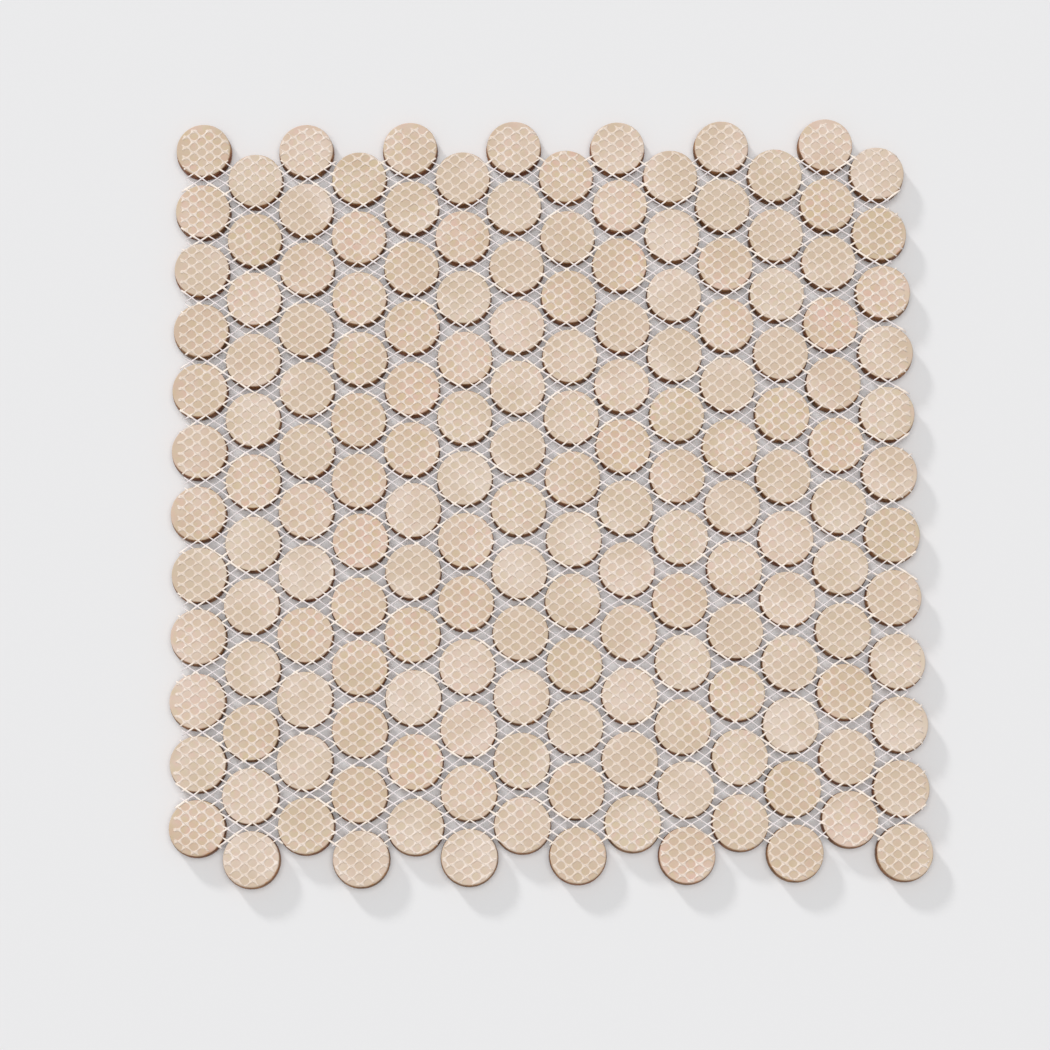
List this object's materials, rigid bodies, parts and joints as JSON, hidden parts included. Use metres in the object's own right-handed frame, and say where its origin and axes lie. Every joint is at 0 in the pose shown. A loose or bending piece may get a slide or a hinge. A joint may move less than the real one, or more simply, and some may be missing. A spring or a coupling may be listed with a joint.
{
  "type": "penny round mosaic tile sheet",
  "caption": "Sheet of round ceramic mosaic tiles in a staggered pattern, held together by a diamond net glued to their backs, lying glazed faces down.",
  "frame": {"origin": "middle of the sheet's bounding box, on the surface that the glazed faces lie on", "axes": "+Z from the glazed faces to the netted backs, +Y along the columns of tiles to the edge where the first column stands out, +X across the columns from the first to the last"},
  "size_m": [0.3018, 0.3146, 0.0064],
  "materials": {
    "tile": "unglazed beige back, glossy dark brown glaze on the sides and the face",
    "net": "white coated threads bedded in a thin film of clear glue on the tile backs"
  },
  "bodies": {
    "root": {"tiles_column_01": "tile", "tiles_column_02": "tile", "tiles_column_03": "tile", "tiles_column_04": "tile", "tiles_column_05": "tile", "tiles_column_06": "tile", "tiles_column_07": "tile", "tiles_column_08": "tile", "tiles_column_09": "tile", "tiles_column_10": "tile", "tiles_column_11": "tile", "tiles_column_12": "tile", "tiles_column_13": "tile", "tiles_column_14": "tile", "net_threads_rising": "net", "net_threads_falling": "net"}
  },
  "joints": []
}
